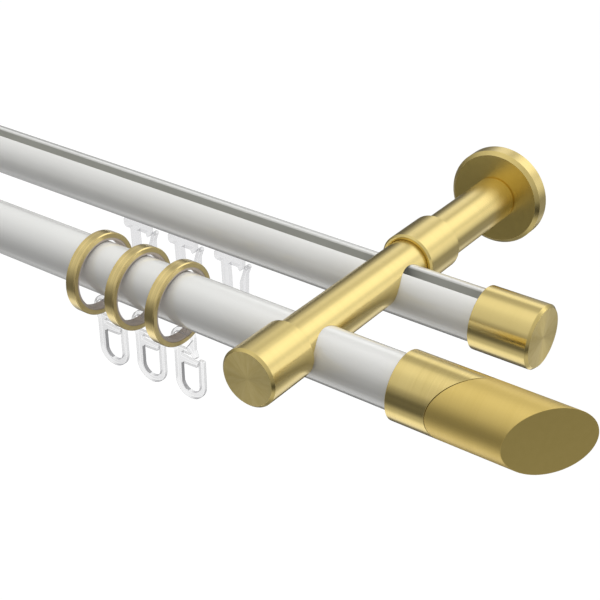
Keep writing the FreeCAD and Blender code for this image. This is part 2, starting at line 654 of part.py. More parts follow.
def rod_glider(index):
    """Clear moulded glider: head in the track, neck through the slot, a bar and a hook with a springy leg."""
    body = piece("track_glider_%d" % index,
                 "bracket_spacing / 2 - glider_place - %d * glider_pitch" % (GLIDERS - index),
                 "-rear_reach", "-pole_drop")
    head_foot = "track_lip - pole_radius + run_gap"
    bar_top = "-pole_radius - bar_gap"
    bar_foot = bar_top + " - bar_height"
    foot = bar_foot + " - glider_drop"
    floor = foot + " + glider_floor"
    inside = "glider_leg - 0.5 * bar_left"
    bow_right = inside + " + 0.25 * glider_leg + glider_bow"
    spring = bow_right + " + glider_spring"
    profile = sketch_on(body, "profile", "XZ_Plane")
    corners = [
        ("-glider_neck / 2", head_foot + " + glider_head_height / 2"),
        ("glider_neck / 2", head_foot + " + glider_head_height / 2"), ("glider_neck / 2", bar_top),
        ("bar_right", bar_top, "0.3 * bar_height"), ("bar_right", bar_foot, "0.2 * bar_height"),
        ("0.82 * bar_right", bar_foot + " - bar_latch", "0.25 * bar_latch"),
        ("0.69 * bar_right", bar_foot, "0.25 * bar_latch"), (inside, bar_foot),
        (inside + " + 0.25 * glider_leg", floor, "0.5 * glider_bow"),
        (bow_right, floor, "0.45 * glider_bow"),
        (bow_right, bar_foot + " - 0.3 * glider_drop", "glider_spring"),
        (bow_right + " + 1.05 * glider_spring", bar_foot + " + 0.4 * bar_height", "0.35 * glider_spring"),
        (spring + " + 0.9 * glider_spring", bar_foot + " + 0.45 * bar_height", "0.3 * glider_spring"),
        (spring + " + 0.2 * glider_spring", bar_foot + " - 0.12 * glider_drop", "glider_spring"),
        (spring, foot, "1.5 * glider_spring"), ("0.25 * glider_leg - 0.5 * bar_left", foot, "1.2 * glider_leg"),
        ("-0.5 * bar_left", bar_foot), ("-bar_left", bar_foot, "0.35 * bar_height"),
        ("-bar_left", bar_top, "0.35 * bar_height"), ("-glider_neck / 2", bar_top)]
    outline(profile, corners)
    pad(body, profile, "moulding", "glider_thickness", symmetric=True)
    round_corners(body, corners)
    eyelet = sketch_on(body, "eyelet_circle", "XZ_Plane")
    circle(eyelet, spring + " + 0.3 * glider_spring", bar_foot + " + 0.15 * bar_height", "eyelet_radius")
    pocket(body, eyelet, "eyelet", "glider_thickness + 2", symmetric=True)
    head = sketch_on(body, "head_profile", "XY_Plane", head_foot)
    half_length, half_width = "glider_head_length / 2", "glider_head_width / 2"
    outline(head, [("-" + half_length, "-" + half_width), (half_length, "-" + half_width),
                   (half_length, half_width), ("-" + half_length, half_width)])
    pad(body, head, "head", "glider_head_height")
    return body


def model():
    """Every sub-part of the curtain pole, in the order of its assembly."""
    parts = []
    for side, place in BRACKETS:
        for make in (wall_plate, rosette, rear_arm, coupling_sleeve, front_arm, arm_head, clamp_screw, lock_screws):
            parts.append(make(side, place))
    parts += [front_pole(), rear_pole()]
    for side, place in BRACKETS:
        for make in (end_cap, finial_sleeve, finial_tip):
            parts.append(make(side, place))
    for index in range(1, RINGS + 1):
        parts += [ring(index), ring_liner(index), ring_hook(index)]
    for index in range(1, GLIDERS + 1):
        parts.append(rod_glider(index))
    return parts


def write(parts):
    """Check every object and shape, then write one file for each sub-part."""
    doc.recompute()
    failed = [item.Name for item in doc.Objects if "Invalid" in item.State or "Error" in item.State]
    if failed:
        raise RuntimeError("failed objects: " + ", ".join(failed))
    for part in parts:
        if part.Shape.isNull() or not part.Shape.isValid():
            raise RuntimeError("bad shape: " + part.Label)
    os.makedirs("parts", exist_ok=True)
    for part in parts:
        part.Shape.exportStep("parts/%s.step" % part.Label)
        print("%-22s solids %d volume %.1f" % (part.Label, len(part.Shape.Solids), part.Shape.Volume))


write(model())
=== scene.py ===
"""Double curtain pole: brass brackets and finials, painted poles, rings with clear hooks, and gliders."""
import math

import bmesh
import bpy
from mathutils import Matrix, Vector


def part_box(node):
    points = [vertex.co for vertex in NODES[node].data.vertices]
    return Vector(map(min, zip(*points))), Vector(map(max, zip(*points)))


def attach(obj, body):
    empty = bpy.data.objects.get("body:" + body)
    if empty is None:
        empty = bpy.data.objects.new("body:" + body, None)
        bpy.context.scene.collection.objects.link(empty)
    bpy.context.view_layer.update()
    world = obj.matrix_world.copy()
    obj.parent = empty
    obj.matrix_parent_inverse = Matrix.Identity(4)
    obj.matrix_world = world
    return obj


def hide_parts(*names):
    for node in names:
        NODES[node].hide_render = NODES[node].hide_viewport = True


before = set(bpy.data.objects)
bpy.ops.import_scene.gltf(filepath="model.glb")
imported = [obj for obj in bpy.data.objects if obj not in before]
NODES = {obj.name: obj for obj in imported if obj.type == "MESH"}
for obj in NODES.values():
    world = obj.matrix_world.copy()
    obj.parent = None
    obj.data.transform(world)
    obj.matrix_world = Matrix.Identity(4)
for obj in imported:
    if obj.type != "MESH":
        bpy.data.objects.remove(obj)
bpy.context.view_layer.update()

MM = 0.001
SIDES = ("left", "right")
SETS = (1, 2, 3)  # a ring with its hook, and a glider


def placed(node):
    """Middle of a CAD node's box."""
    low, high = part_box(node)
    return (low + high) / 2


def bearing(azimuth, elevation):
    """Direction from the object, in degrees: azimuth 0 is the front (-Y), 90 the right (+X)."""
    turn, lift = math.radians(azimuth), math.radians(elevation)
    return Vector((math.sin(turn) * math.cos(lift), -math.cos(turn) * math.cos(lift), math.sin(lift)))


def linked(name, data):
    """A new object for a mesh, camera or lamp, in the scene."""
    made = bpy.data.objects.new(name, data)
    bpy.context.scene.collection.objects.link(made)
    return made


# A point on each pole's axis. The groove and the slot cut the rear pole's own box, so its end cap gives it.
FRONT_AXIS, REAR_AXIS = placed("front_pole"), placed("rear_end_cap_right")
FRONT_AXIS.x = REAR_AXIS.x = 0
POLE_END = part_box("front_pole")[1].x

# ---------------------------------------------------------------- camera

PHOTO_AZIMUTH, PHOTO_ELEVATION = 36.10, 30.61
PHOTO_PLACE = (0.6651, -0.4426, 0.2362)
SENSOR_MM, LENS_MM = 36, 78.39
SHIFT = (-0.0021, 0.0014)
CLIP = (0.01, 50)


def photo_camera():
    """The camera at the photograph's viewing angle."""
    back, right = bearing(PHOTO_AZIMUTH, PHOTO_ELEVATION), bearing(PHOTO_AZIMUTH + 90, 0)
    data = bpy.data.cameras.new("photo_camera")
    data.sensor_width, data.lens = SENSOR_MM, LENS_MM
    data.shift_x, data.shift_y = SHIFT
    data.clip_start, data.clip_end = CLIP
    camera = linked("photo_camera", data)
    camera.matrix_world = Matrix.Translation(PHOTO_PLACE) @ Matrix(
        (right, back.cross(right), back)).transposed().to_4x4()
    bpy.context.scene.camera = camera


photo_camera()

# ---------------------------------------------------------------- materials

LOW, HIGH = 0.3, 0.7  # nearly all of a noise's values lie between these


def colour(text):
    """An sRGB hex colour as linear RGBA, by the standard's curve."""
    values = []
    for k in (1, 3, 5):
        part = int(text[k:k + 2], 16) / 255
        values.append(part / 12.92 if part <= 0.04045 else ((part + 0.055) / 1.055) ** 2.4)
    return (*values, 1)


def add(tree, kind, settings=(), stops=(), **inputs):
    """A node with its settings, a colour ramp's (place, hex colour) stops, and its inputs.

    An input is a value or the socket that feeds it. It goes by its own name, with _ for spaces, or by its
    number, as in_0 or in_1.
    """
    node = tree.nodes.new(kind)
    for name, value in dict(settings).items():
        setattr(node, name, value)
    if stops:
        elements = node.color_ramp.elements
        while len(elements) < len(stops):
            elements.new(0.5)  # any place does: the next loop sets it
        for element, (place, text) in zip(elements, stops):
            element.position, element.color = place, colour(text)
    for name, value in inputs.items():
        socket = node.inputs[int(name[3:]) if name.startswith("in_") else name.replace("_", " ")]
        if isinstance(value, bpy.types.NodeSocket):
            tree.links.new(value, socket)
        else:
            socket.default_value = value
    return node


def material(name):
    """A new material, and its tree without any node."""
    made = bpy.data.materials.new(name)
    made.use_nodes = True
    made.node_tree.nodes.clear()
    return made, made.node_tree


def brushed_brass(name, base, line_bottoms_and_ray_shade, rough, spread, line_mm, depth_mm, around=2.0):
    """Lacquered brass, cut or brushed as it turned: fine lines run round it, and highlights spread across them.

    base and line_bottoms_and_ray_shade colour the tops and bottoms of the lines (on faced brass, the painted
    rays of highlight and the painted shade between them), spread is how far they draw a highlight out, line_mm
    and depth_mm are a line's width and depth, and around is how often it changes in one turn. A piece's own UV
    map has the share of a turn in U and the metres along the profile in V.
    """
    fine_share, broad_share, lines_in_band, tops = 0.65, 0.35, 9, 0.62
    made, tree = material(name)
    where = add(tree, "ShaderNodeTexCoord").outputs["UV"]
    lines = add(tree, "ShaderNodeMapping", in_0=where, Scale=(around, 1 / (line_mm * MM), 1)).outputs[0]
    fine = add(tree, "ShaderNodeTexNoise", {"noise_dimensions": "2D"}, Vector=lines, Scale=1.0, Detail=4.0,
               Roughness=0.65).outputs["Fac"]
    bands = add(tree, "ShaderNodeMapping", in_0=where,
                Scale=(1.0, 1 / (lines_in_band * line_mm * MM), 1)).outputs[0]
    broad = add(tree, "ShaderNodeTexNoise", {"noise_dimensions": "2D"}, Vector=bands, Scale=1.0, Detail=2.0,
                Roughness=0.5).outputs["Fac"]
    slow = add(tree, "ShaderNodeMath", {"operation": "MULTIPLY"}, in_0=broad, in_1=broad_share).outputs[0]
    both = add(tree, "ShaderNodeMath", {"operation": "MULTIPLY_ADD"}, in_0=fine, in_1=fine_share,
               in_2=slow).outputs[0]
    tone = add(tree, "ShaderNodeValToRGB", stops=((LOW, line_bottoms_and_ray_shade), (tops, base)), Fac=both).outputs["Color"]
    roughness = add(tree, "ShaderNodeMapRange", Value=both, From_Min=LOW, From_Max=HIGH, To_Min=rough * 1.05,
                    To_Max=rough * 0.96).outputs[0]
    relief = add(tree, "ShaderNodeBump", Height=both, Distance=depth_mm * MM, Strength=1.0).outputs[0]
    tangent = add(tree, "ShaderNodeTangent", {"direction_type": "UV_MAP", "uv_map": "UVMap"}).outputs[0]
    quarter_turn, lacquer, lacquer_rough = 0.25, 0.15, 0.12
    shader = add(tree, "ShaderNodeBsdfPrincipled", Base_Color=tone, Metallic=1.0, Roughness=roughness,
                 Normal=relief, Tangent=tangent, Anisotropic=spread, Anisotropic_Rotation=quarter_turn,
                 Coat_Weight=lacquer, Coat_Roughness=lacquer_rough)
    add(tree, "ShaderNodeOutputMaterial", Surface=shader.outputs[0])
    return made


def milled_brass(name, dark, light, rough):
    """Brass cut flat and lapped: satin, with faint clouds and no direction."""
    cloud_mm = 2.5
    made, tree = material(name)
    where = add(tree, "ShaderNodeTexCoord").outputs["Object"]
    cloud = add(tree, "ShaderNodeTexNoise", Vector=where, Scale=1 / (cloud_mm * MM), Detail=2.0).outputs["Fac"]
    tone = add(tree, "ShaderNodeValToRGB", stops=((LOW, dark), (HIGH, light)), Fac=cloud).outputs["Color"]
    roughness = add(tree, "ShaderNodeMapRange", Value=cloud, To_Min=rough * 0.94, To_Max=rough * 1.06).outputs[0]
    shader = add(tree, "ShaderNodeBsdfPrincipled", Base_Color=tone, Metallic=1.0, Roughness=roughness)
    add(tree, "ShaderNodeOutputMaterial", Surface=shader.outputs[0])
    return made


def powder_coated(name, dark, light):
    """Steel under cured powder: nearly white, with a glossy skin and the faint orange peel of the cured coat."""
    peel_mm, peel_depth_mm, cloud_mm = 1.6, 0.0005, 45
    made, tree = material(name)
    where = add(tree, "ShaderNodeTexCoord").outputs["Object"]
    peel = add(tree, "ShaderNodeTexNoise", Vector=where, Scale=1 / (peel_mm * MM), Detail=1.0).outputs["Fac"]
    cloud = add(tree, "ShaderNodeTexNoise", Vector=where, Scale=1 / (cloud_mm * MM), Detail=3.0).outputs["Fac"]
    tone = add(tree, "ShaderNodeValToRGB", stops=((0.35, dark), (0.65, light)), Fac=cloud).outputs["Color"]
    relief = add(tree, "ShaderNodeBump", Height=peel, Distance=peel_depth_mm * MM, Strength=1.0).outputs[0]
    roughness = add(tree, "ShaderNodeMapRange", Value=cloud, To_Min=0.24, To_Max=0.27).outputs[0]
    shader = add(tree, "ShaderNodeBsdfPrincipled", Base_Color=tone, Roughness=roughness, Normal=relief,
                 Coat_Weight=1.0, Coat_Roughness=0.08, Coat_IOR=1.6)
    add(tree, "ShaderNodeOutputMaterial", Surface=shader.outputs[0])
    return made


def moulded_acetal(dark, light):
    """Injection-moulded acetal: a warm grey, matt from its mould's texture, which is drawn coarser than real."""
    grain_mm, grain_depth_mm = 0.7, 0.01
    made, tree = material("moulded_acetal")
    where = add(tree, "ShaderNodeTexCoord").outputs["Object"]
    grain = add(tree, "ShaderNodeTexNoise", Vector=where, Scale=1 / (grain_mm * MM), Detail=3.0).outputs["Fac"]
    tone = add(tree, "ShaderNodeValToRGB", stops=((LOW, dark), (HIGH, light)), Fac=grain).outputs["Color"]
    relief = add(tree, "ShaderNodeBump", Height=grain, Distance=grain_depth_mm * MM, Strength=1.0).outputs[0]
    shader = add(tree, "ShaderNodeBsdfPrincipled", Base_Color=tone, Roughness=0.4, Normal=relief)
    add(tree, "ShaderNodeOutputMaterial", Surface=shader.outputs[0])
    return made


def clear_moulding(name, dark, light, rough, thin, full):
    """Injection-moulded clear plastic: what is behind it shows through, and it greys towards its edges.

    thin is how much of the plastic itself shows where it is seen straight on, full where it is seen along.
    """
    flow_mm, straight_on, seen_along = 6, 0.27, 0.66
    made, tree = material(name)
    where = add(tree, "ShaderNodeTexCoord").outputs["Object"]
    flow = add(tree, "ShaderNodeTexNoise", Vector=where, Scale=1 / (flow_mm * MM), Detail=2.0).outputs["Fac"]
    tone = add(tree, "ShaderNodeValToRGB", stops=((LOW, dark), (HIGH, light)), Fac=flow).outputs["Color"]
    slope = add(tree, "ShaderNodeLayerWeight", Blend=0.5).outputs["Facing"]
    cover = add(tree, "ShaderNodeMapRange", {"interpolation_type": "SMOOTHSTEP"}, Value=slope,
                From_Min=straight_on, From_Max=seen_along, To_Min=thin, To_Max=full).outputs[0]
    shader = add(tree, "ShaderNodeBsdfPrincipled", Base_Color=tone, Roughness=rough, Alpha=cover)
    add(tree, "ShaderNodeOutputMaterial", Surface=shader.outputs[0])
    return made


def zinc_plated(name, dark, light, spangle_mm):
    """Zinc-plated steel: a dull grey metal with a fine spangle."""
    made, tree = material(name)
    where = add(tree, "ShaderNodeTexCoord").outputs["Object"]
    grain = add(tree, "ShaderNodeTexNoise", Vector=where, Scale=1 / (spangle_mm * MM), Detail=4.0).outputs["Fac"]
    tone = add(tree, "ShaderNodeValToRGB", stops=((LOW, dark), (HIGH, light)), Fac=grain).outputs["Color"]
    roughness = add(tree, "ShaderNodeMapRange", Value=grain, To_Min=0.28, To_Max=0.42).outputs[0]
    shader = add(tree, "ShaderNodeBsdfPrincipled", Base_Color=tone, Metallic=1.0, Roughness=roughness)
    add(tree, "ShaderNodeOutputMaterial", Surface=shader.outputs[0])
    return made


# Real tool marks are about 0.05 mm apart, too fine to show in the render, so each brass has them drawn coarser.
# Turned with a sharp tool: clean and bright, with highlights drawn out far along the piece.
TURNED = brushed_brass("turned_brass", "#E9D38C", "#E7D189", rough=0.25, spread=0.82, line_mm=0.35,
                       depth_mm=0.00015)
# Brushed with abrasive cloth as it turned: the same colour, with lines that show as fine streaks.
BRUSHED = brushed_brass("brushed_brass", "#E9D38C", "#E0C980", rough=0.26, spread=0.8, line_mm=0.5,
                        depth_mm=0.0018)
# Bead-blasted after turning: a deeper yellow, soft and even, with hardly a line.
SATIN = brushed_brass("satin_brass", "#E9CE7B", "#E6CB77", rough=0.46, spread=0.2, line_mm=0.35, depth_mm=0.0002)
# Drawn tube, parted into rings: bright bands round the outside, and plain satin on the cut faces.
RING_BRASS = brushed_brass("drawn_brass", "#F2DC98", "#DEC888", rough=0.18, spread=0.85, line_mm=0.6,
                           depth_mm=0.001)
RING_FACE = milled_brass("drawn_brass_face", "#E6D293", "#EDD99B", rough=0.36)
# Faced off on the lathe: its ring marks throw the light into rays from the middle. The marks are too fine to
# show, so the rays are painted highlight in the colour, 22 changes round the face and slow ones along it, over
# the real spread from the anisotropy.
PAINTED_STAR = brushed_brass("faced_brass_painted_rays", "#F6E3A0", "#E9D48C", rough=0.5, spread=0.66, line_mm=9, depth_mm=0.0002,
                     around=22.0)
# Milled flat: an even satin. The finial's slanted face has the same satin in a darker colour: painted dark
# reflection of the room.
MILLED = milled_brass("milled_brass", "#E4CB78", "#E7CE7B", rough=0.3)
SLANT_FACE_PAINTED_DARK = milled_brass("slant_face_brass_painted_dark", "#CFB86D", "#D2BB70", rough=0.3)
# Chamfers and rims, polished: a thin bright line round a face.
EDGE = milled_brass("polished_brass_edge", "#E6CF84", "#E9D38A", rough=0.2)
# Powder coat on the poles: a soft gloss in two long bands. In the narrow groove the coat is painted greyer:
# painted shade in the recess.
PAINT = powder_coated("powder_coated_steel", "#E2E2DF", "#E5E5E2")
PAINTED_GROOVE_SHADE = powder_coated("powder_coat_in_groove", "#BEBEB8", "#C4C4BE")
# Acetal liners: matt and warm beside the bright rings.
LINER = moulded_acetal("#DCCFC6", "#E6DAD0")
# Clear acrylic from a polished mould: nearly nothing shows of its flat faces, and its outline is a grey line.
HOOK_PLASTIC = clear_moulding("clear_acrylic", "#B8B8BE", "#C6C6CC", rough=0.05, thin=0.02, full=0.62)
# The same, greyer and more solid, on some faces of the bow: painted shade, standing in for the dark of the room
# that the plastic gathers there.
HOOK_PAINTED_SHADE = clear_moulding("clear_acrylic_painted_shade", "#86868C", "#94949A", rough=0.05, thin=0.72, full=0.95)
# Unfilled nylon: milky, so that more of it shows straight on and less at its edges.
GLIDER_PLASTIC = clear_moulding("clear_nylon", "#CACAD8", "#D8D8E4", rough=0.3, thin=0.15, full=0.3)
# Stamped plates and small screws, zinc plated: dull grey, with the spangle finer on the screws.
PLATE = zinc_plated("zinc_plated_plate", "#8E9094", "#A6A8AC", spangle_mm=1.2)
SCREW = zinc_plated("zinc_plated_screw", "#7C7E82", "#94969A", spangle_mm=0.6)

# ---------------------------------------------------------------- lathe and bench

ARC_PARTS = 5     # steps of a rounded corner on a turned profile
ARC_STEP = 0.45   # mm of arc to a step on an outline, where an arc has at least ARC_LEAST of them
ARC_LEAST = 3
SUPPORT = 0.05    # mm from an arc to the point that keeps the line beside it straight
STRAIGHT = 1e-3   # radians of turn that need no arc
CREASE = 50       # degrees between turned faces from which their edge stays sharp
WELD = 0.002 * MM
# Facets round a piece: usual, for wide pieces and the poles' seats, for a dowel, and for screw holes.
FACETS, WIDE_FACETS, DOWEL_FACETS, HOLE_FACETS = 160, 192, 64, 48
BEVEL_STEPS = 3
# How nearly a face looks along a direction to be the flat face, and from where on to be the edge round it.
SQUARE_ON, ROUND_IT = 0.985, 0.12


def rounded(corners, support=SUPPORT):
    """Profile points (along, radius) in mm, from corners (along, radius, rounding).

    Each arc has a support point before and after it. With support at 0 there are none, and an arc gets its
    steps by its length.
    """
    points = []
    closed = corners[0][:2] == corners[-1][:2]
    count = len(corners) - 1 if closed else len(corners)
    for k in range(count):
        here = Vector(corners[k][:2])
        rounding = corners[k][2] if len(corners[k]) > 2 else 0
        if not closed and k in (0, count - 1):
            points.append(here)
            continue
        before = Vector(corners[k - 1 if k else count - 1][:2]) - here
        after = Vector(corners[(k + 1) % count][:2]) - here
        turn = math.pi - before.angle(after)
        if not rounding or turn < STRAIGHT:
            points.append(here)
            continue
        reach = rounding * math.tan(turn / 2)
        start, end = here + before.normalized() * reach, here + after.normalized() * reach
        if support and before.length > reach + 3 * support:
            points.append(start + before.normalized() * support)
        middle = here + (before.normalized() + after.normalized()).normalized() * rounding / math.cos(turn / 2)
        first = start - middle
        swing = math.copysign(turn, first.x * (end - middle).y - first.y * (end - middle).x)
        parts = ARC_PARTS if support else max(ARC_LEAST, round(turn * rounding / ARC_STEP))
        for step in range(parts + 1):
            points.append(middle + Matrix.Rotation(swing * step / parts, 2) @ first)
        if support and after.length > reach + 3 * support:
            points.append(end + after.normalized() * support)
    if closed:
        points.append(points[0].copy())
    return points


def lathe_tree():
    """Geometry Nodes that turn a profile round an axis. Its points hold (along, radius, length so far)."""
    tree = bpy.data.node_groups.new("lathe", "GeometryNodeTree")
    tree.interface.new_socket("Turned", in_out="OUTPUT", socket_type="NodeSocketGeometry")
    for name, kind in (("Profile", "NodeSocketGeometry"), ("Facets", "NodeSocketInt"),
                       ("Turn", "NodeSocketVector"), ("Place", "NodeSocketVector"),
                       ("Sharp angle", "NodeSocketFloat"), ("Finish", "NodeSocketMaterial")):
        tree.interface.new_socket(name, in_out="INPUT", socket_type=kind)
    given = add(tree, "NodeGroupInput").outputs
    # A grid with a column for each facet and a row for each profile point; X and Y run from -0.5 to 0.5.
    points = add(tree, "GeometryNodeAttributeDomainSize", in_0=given["Profile"]).outputs["Point Count"]
    columns = add(tree, "ShaderNodeMath", {"operation": "ADD"}, in_0=given["Facets"], in_1=1.0).outputs[0]
    grid = add(tree, "GeometryNodeMeshGrid", Size_X=1.0, Size_Y=1.0, Vertices_X=columns,
               Vertices_Y=points).outputs["Mesh"]
    place = add(tree, "GeometryNodeInputPosition").outputs[0]
    apart = add(tree, "ShaderNodeSeparateXYZ", in_0=place).outputs
    share, along = [add(tree, "ShaderNodeMath", {"operation": "ADD"}, in_0=apart[way], in_1=0.5).outputs[0]
                    for way in ("X", "Y")]
    # Each row takes its profile point.
    last = add(tree, "ShaderNodeMath", {"operation": "SUBTRACT"}, in_0=points, in_1=1.0).outputs[0]
    row = add(tree, "ShaderNodeMath", {"operation": "MULTIPLY"}, in_0=along, in_1=last).outputs[0]
    index = add(tree, "FunctionNodeFloatToInt", {"rounding_mode": "ROUND"}, in_0=row).outputs[0]
    picked = add(tree, "GeometryNodeSampleIndex", {"data_type": "FLOAT_VECTOR", "domain": "POINT"},
                 Geometry=given["Profile"], Value=place, Index=index).outputs[0]
    corner = add(tree, "ShaderNodeSeparateXYZ", in_0=picked).outputs
    # Each column takes its share of a turn.
    angle = add(tree, "ShaderNodeMath", {"operation": "MULTIPLY"}, in_0=share, in_1=2 * math.pi).outputs[0]
    across = [add(tree, "ShaderNodeMath", {"operation": "MULTIPLY"}, in_0=corner["Y"],
                  in_1=add(tree, "ShaderNodeMath", {"operation": kind}, in_0=angle).outputs[0]).outputs[0]
              for kind in ("COSINE", "SINE")]
    put = add(tree, "ShaderNodeCombineXYZ", X=corner["X"], Y=across[0], Z=across[1]).outputs[0]
    unwrap = add(tree, "ShaderNodeCombineXYZ", X=share, Y=corner["Z"]).outputs[0]
    mapped = add(tree, "GeometryNodeStoreNamedAttribute", {"data_type": "FLOAT2", "domain": "CORNER"},
                 Geometry=grid, Name="UVMap", Value=unwrap).outputs[0]
    shaped = add(tree, "GeometryNodeSetPosition", Geometry=mapped, Position=put).outputs[0]
    joined = add(tree, "GeometryNodeMergeByDistance", Geometry=shaped, Distance=WELD).outputs[0]
    moved = add(tree, "GeometryNodeTransform", Geometry=joined, Translation=given["Place"],
                Rotation=given["Turn"]).outputs[0]
    smooth = add(tree, "GeometryNodeSetShadeSmooth", {"domain": "FACE"}, Geometry=moved,
                 Shade_Smooth=True).outputs[0]
    sharp = add(tree, "FunctionNodeCompare", {"data_type": "FLOAT", "operation": "GREATER_THAN"},
                in_0=add(tree, "GeometryNodeInputMeshEdgeAngle").outputs["Unsigned Angle"],
                in_1=given["Sharp angle"]).outputs[0]
    creased = add(tree, "GeometryNodeSetShadeSmooth", {"domain": "EDGE"}, Geometry=smooth, Selection=sharp,
                  Shade_Smooth=False).outputs[0]
    real = add(tree, "GeometryNodeRealizeInstances", Geometry=creased).outputs[0]
    dressed = add(tree, "GeometryNodeSetMaterial", Geometry=real, Material=given["Finish"]).outputs[0]
    add(tree, "NodeGroupOutput", in_0=dressed)
    return tree


LATHE = lathe_tree()


def scrapped(piece):
    """Remove an object and its mesh."""
    mesh = piece.data
    bpy.data.objects.remove(piece)
    bpy.data.meshes.remove(mesh)


def frozen(source, name):
    """The evaluated object as a plain mesh in a new object; the source goes."""
    bpy.context.view_layer.update()
    seen = source.evaluated_get(bpy.context.evaluated_depsgraph_get())
    mesh = bpy.data.meshes.new_from_object(seen)
    scrapped(source)
    mesh.name = name
    return linked(name, mesh)


def turned(name, corners, place, finish, turn=(0, 0, 0), facets=FACETS):
    """A piece turned from a profile in mm; turn is the rotation that takes +X to its axis."""
    points = [Vector((point.x * MM, point.y * MM, 0)) for point in rounded(corners)]
    run = 0
    for k, point in enumerate(points):
        run += (point.xy - points[k - 1].xy).length if k else 0
        point.z = run
    mesh = bpy.data.meshes.new(name + "_profile")
    mesh.from_pydata(points, [(k, k + 1) for k in range(len(points) - 1)], [])
    source = linked(name + "_profile", mesh)
    modifier = source.modifiers.new("lathe", "NODES")
    modifier.node_group = LATHE
    sockets = {item.name: item.identifier for item in LATHE.interface.items_tree if item.in_out == "INPUT"}
    for key, value in (("Facets", facets), ("Turn", turn), ("Place", tuple(place)),
                       ("Sharp angle", math.radians(CREASE)), ("Finish", finish)):
        modifier[sockets[key]] = value
    made = frozen(source, name)
    shell = bmesh.new()
    shell.from_mesh(made.data)
    bmesh.ops.recalc_face_normals(shell, faces=shell.faces)
    shell.to_mesh(made.data)
    shell.free()
    return made


def sliced(piece, point, normal):
    """Cut off what lies on the normal's side of a plane, and close the cut."""
    shell = bmesh.new()
    shell.from_mesh(piece.data)
    cut = bmesh.ops.bisect_plane(shell, geom=shell.verts[:] + shell.edges[:] + shell.faces[:], plane_co=point,
                                 plane_no=normal, clear_outer=True)
    rim = [item for item in cut["geom_cut"] if isinstance(item, bmesh.types.BMEdge)]
    bmesh.ops.holes_fill(shell, edges=rim, sides=0)
    bmesh.ops.recalc_face_normals(shell, faces=shell.faces)
    shell.to_mesh(piece.data)
    shell.free()


def cylinder(start, end, radius_mm, facets):
    """A closed cylinder between two points, to cut with or to join on."""
    shell = bmesh.new()
    line = end - start
    turn = line.to_track_quat("Z", "Y").to_matrix().to_4x4()
    bmesh.ops.create_cone(shell, cap_ends=True, segments=facets, radius1=radius_mm * MM, radius2=radius_mm * MM,
                          depth=line.length, matrix=Matrix.Translation((start + end) / 2) @ turn)
    mesh = bpy.data.meshes.new("cutter")
    shell.to_mesh(mesh)
    shell.free()
    return linked("cutter", mesh)


def extruded(outline, ends, place):
    """A closed shell: an outline drawn out between two ends. place says where (a, b) goes at an end."""
    shell = bmesh.new()
    rings = [[shell.verts.new(place(a, b, end)) for a, b in outline] for end in ends]
    for k in range(len(outline)):
        after = (k + 1) % len(outline)
        shell.faces.new((rings[0][k], rings[0][after], rings[1][after], rings[1][k]))
    for ring in rings:
        shell.faces.new(ring)
    return shell


def cast(shell, name, *finishes):
    """The shell as a mesh with its faces outwards and its finishes; the shell goes."""
    bmesh.ops.recalc_face_normals(shell, faces=shell.faces)
    mesh = bpy.data.meshes.new(name)
    shell.to_mesh(mesh)
    shell.free()
    for finish in finishes:
        mesh.materials.append(finish)
    return mesh


def carved(piece, tools, join=False):
    """Cut the tools out of the piece, or join them to it, and keep a plain mesh."""
    for tool in tools:
        modifier = piece.modifiers.new("carve", "BOOLEAN")
        modifier.operation, modifier.solver = ("UNION" if join else "DIFFERENCE"), "EXACT"
        modifier.object = tool
    made = frozen(piece, piece.name)
    for tool in tools:
        scrapped(tool)
    return made


def eased(piece, width_mm, angle):
    """Bevel the edges whose faces meet at the angle or more, in degrees, and shade the piece smooth between."""
    modifier = piece.modifiers.new("ease", "BEVEL")
    modifier.width, modifier.segments, modifier.limit_method = width_mm * MM, BEVEL_STEPS, "ANGLE"
    modifier.angle_limit = math.radians(angle)
    modifier.harden_normals = True
    modifier.use_clamp_overlap = True
    piece.data.shade_smooth()
    piece.data.set_sharp_from_angle(angle=math.radians(angle))
    return frozen(piece, piece.name)


def coat_number(piece, finish):
    """Number of a finish among a piece's materials, which takes it up if it is new."""
    if finish.name not in piece.data.materials:
        piece.data.materials.append(finish)
    return piece.data.materials.find(finish.name)


def faced(piece, direction, finish, edge=True):
    """Give the flat faces that look along a direction their own finish, and polish the edge round them."""
    flat = coat_number(piece, finish)
    polished = coat_number(piece, EDGE) if edge else None
    for polygon in piece.data.polygons:
        along = polygon.normal.dot(Vector(direction))
        if along > SQUARE_ON:
            polygon.material_index = flat
        elif edge and along > ROUND_IT:
            polygon.material_index = polished


def fitted(piece, body, slot, *nodes):
    """The finished piece rides on its body and stands for its CAD nodes."""
    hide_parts(*nodes)
    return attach(piece, body)


# ---------------------------------------------------------------- brackets

# Sizes from here to the studio are in mm. A bore is 0.05 wider in radius than what goes into it.
POLE, POLE_BORE, ARM, ARM_BORE, SPIGOT_BORE = 10, 10.05, 9, 9.05, 6.05
M4_HOLE, M6_HOLE = 2.05, 3.05
ROOM = (0, -1, 0)
TO_ROOM = (0, 0, -math.pi / 2)
# Profiles for the lathe: (out of the wall, radius, rounding).
ROSETTE_PROFILE = ((3, SPIGOT_BORE), (3, 17.4), (0, 17.4), (0, 20, 0.12), (5.4, 20, 0.12), (6.75, 18.5, 0.12),
                   (6.75, SPIGOT_BORE), (3, SPIGOT_BORE))
REAR_ARM_PROFILE = ((63.95, 0), (63.95, 8.5, 0.1), (63.45, ARM, 0.1), (7.4, ARM, 0.1), (7.1, 8.6), (6.75, 8.6),
                    (6.75, SPIGOT_BORE), (21.5, SPIGOT_BORE), (21.5, 0))
SLEEVE_PROFILE = ((73.7, ARM_BORE), (74, 9.35), (74, 10.3, 0.15), (73.3, 11, 0.15), (54, 11, 0.2),
                  (54, ARM_BORE), (73.7, ARM_BORE))
FRONT_ARM_PROFILE = ((64.05, 0), (64.05, 8.5, 0.1), (64.55, ARM, 0.1), (166.45, ARM, 0.1), (166.95, 8.5, 0.1),
                     (166.95, 0))
